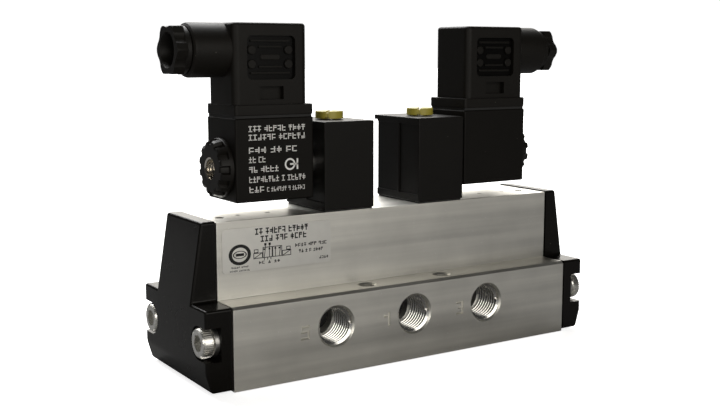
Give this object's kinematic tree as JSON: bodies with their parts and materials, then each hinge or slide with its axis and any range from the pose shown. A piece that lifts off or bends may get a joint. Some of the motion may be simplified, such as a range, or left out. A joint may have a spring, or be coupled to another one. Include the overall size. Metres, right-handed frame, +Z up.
{
  "type": "solenoid directional valve",
  "caption": "Pneumatic spool valve with an inverted T aluminium body, black end caps, ports along one face, paired solenoid pilots, cable plugs and yellow manual overrides.",
  "frame": {"origin": "centre of the bounding box at the underside, which is the middle of the valve body's bottom face", "axes": "+X along the spool, -Y out of the face with ports 5, 1 and 3, +Z up"},
  "size_m": [0.1596, 0.05, 0.1162],
  "materials": {
    "aluminium": "satin extruded and anodised",
    "cap_plastic": "moulded, slight sheen",
    "black_block": "moulded, satin",
    "coil_resin": "moulded resin, satin",
    "nut_plastic": "moulded",
    "connector_plastic": "moulded, fine matt texture",
    "gland_plastic": "moulded, satin",
    "terminal_plastic": "moulded",
    "piston_plastic": "machined acetal",
    "rubber": "nitrile rubber",
    "zinc_steel": "zinc plated",
    "spring_steel": "bright spring steel",
    "steel": "ground steel",
    "brass": "machined",
    "tinned_brass": "tinned",
    "copper": "enamelled copper wire, potted",
    "yellow_plastic": "moulded, olive yellow",
    "label_foil": "silver foil label"
  },
  "bodies": {
    "valve": {"valve_body": "aluminium", "end_cap_left": "cap_plastic", "end_cap_right": "cap_plastic", "end_gaskets": "rubber", "cap_screws": "zinc_steel", "spring_washers": "spring_steel", "spool_spacers": "brass", "spool_seals": "rubber", "nameplate": "label_foil", "pilot_block_left": "black_block", "pilot_cover_left": "black_block", "pilot_gasket_left": "rubber", "pilot_screws_left": "zinc_steel", "armature_tube_left": "steel", "fixed_core_left": "steel", "plunger_spring_left": "spring_steel", "coil_left": "coil_resin", "coil_winding_left": "copper", "contact_blades_left": "tinned_brass", "connector_gasket_left": "rubber", "connector_left": "connector_plastic", "terminal_block_left": "terminal_plastic", "connector_screw_left": "zinc_steel", "gland_seal_left": "rubber", "gland_washer_left": "zinc_steel", "pilot_block_right": "black_block", "pilot_cover_right": "black_block", "pilot_gasket_right": "rubber", "pilot_screws_right": "zinc_steel", "armature_tube_right": "steel", "fixed_core_right": "steel", "plunger_spring_right": "spring_steel", "coil_right": "coil_resin", "coil_winding_right": "copper", "contact_blades_right": "tinned_brass", "connector_gasket_right": "rubber", "connector_right": "connector_plastic", "terminal_block_right": "terminal_plastic", "connector_screw_right": "zinc_steel", "gland_seal_right": "rubber", "gland_washer_right": "zinc_steel"},
    "spool": {"spool": "steel", "piston_left": "piston_plastic", "piston_right": "piston_plastic", "piston_seals": "rubber"},
    "override_left": {"override_button_left": "yellow_plastic", "override_stem_left": "steel"},
    "plunger_left": {"plunger_left": "steel", "plunger_seal_left": "rubber"},
    "coil_nut_left": {"coil_nut_left": "nut_plastic", "coil_nut_insert_left": "tinned_brass"},
    "gland_nut_left": {"gland_nut_left": "gland_plastic"},
    "override_right": {"override_button_right": "yellow_plastic", "override_stem_right": "steel"},
    "plunger_right": {"plunger_right": "steel", "plunger_seal_right": "rubber"},
    "coil_nut_right": {"coil_nut_right": "nut_plastic", "coil_nut_insert_right": "tinned_brass"},
    "gland_nut_right": {"gland_nut_right": "gland_plastic"}
  },
  "joints": [
    {"name": "spool_shift", "type": "slide", "parent": "valve", "child": "spool", "axis": [1, 0, 0], "range_m": [0, 0.008]},
    {"name": "plunger_lift_left", "type": "slide", "parent": "valve", "child": "plunger_left", "axis": [-1, 0, 0], "range_m": [0, 0.001], "stiffness_N_per_m": 600, "springref_m": -0.004, "deforming": ["plunger_spring_left"]},
    {"name": "override_turn_left", "type": "hinge", "parent": "valve", "child": "override_left", "pos_m": [-0.01955, 0, 0.0836], "axis": [0, 0, 1], "range_deg": [0, 90]},
    {"name": "coil_nut_turn_left", "type": "hinge", "parent": "valve", "child": "coil_nut_left", "pos_m": [-0.063, 0, 0.0689], "axis": [-1, 0, 0], "range_deg": [0, 360]},
    {"name": "gland_nut_turn_left", "type": "hinge", "parent": "valve", "child": "gland_nut_left", "pos_m": [-0.0738, 0, 0.1074], "axis": [-1, 0, 0], "range_deg": [0, 360]},
    {"name": "plunger_lift_right", "type": "slide", "parent": "valve", "child": "plunger_right", "axis": [1, 0, 0], "range_m": [0, 0.001], "stiffness_N_per_m": 600, "springref_m": -0.004, "deforming": ["plunger_spring_right"]},
    {"name": "override_turn_right", "type": "hinge", "parent": "valve", "child": "override_right", "pos_m": [0.01955, 0, 0.0836], "axis": [0, 0, 1], "range_deg": [0, 90]},
    {"name": "coil_nut_turn_right", "type": "hinge", "parent": "valve", "child": "coil_nut_right", "pos_m": [0.063, 0, 0.0689], "axis": [1, 0, 0], "range_deg": [0, 360]},
    {"name": "gland_nut_turn_right", "type": "hinge", "parent": "valve", "child": "gland_nut_right", "pos_m": [0.0738, 0, 0.1074], "axis": [1, 0, 0], "range_deg": [0, 360]}
  ]
}
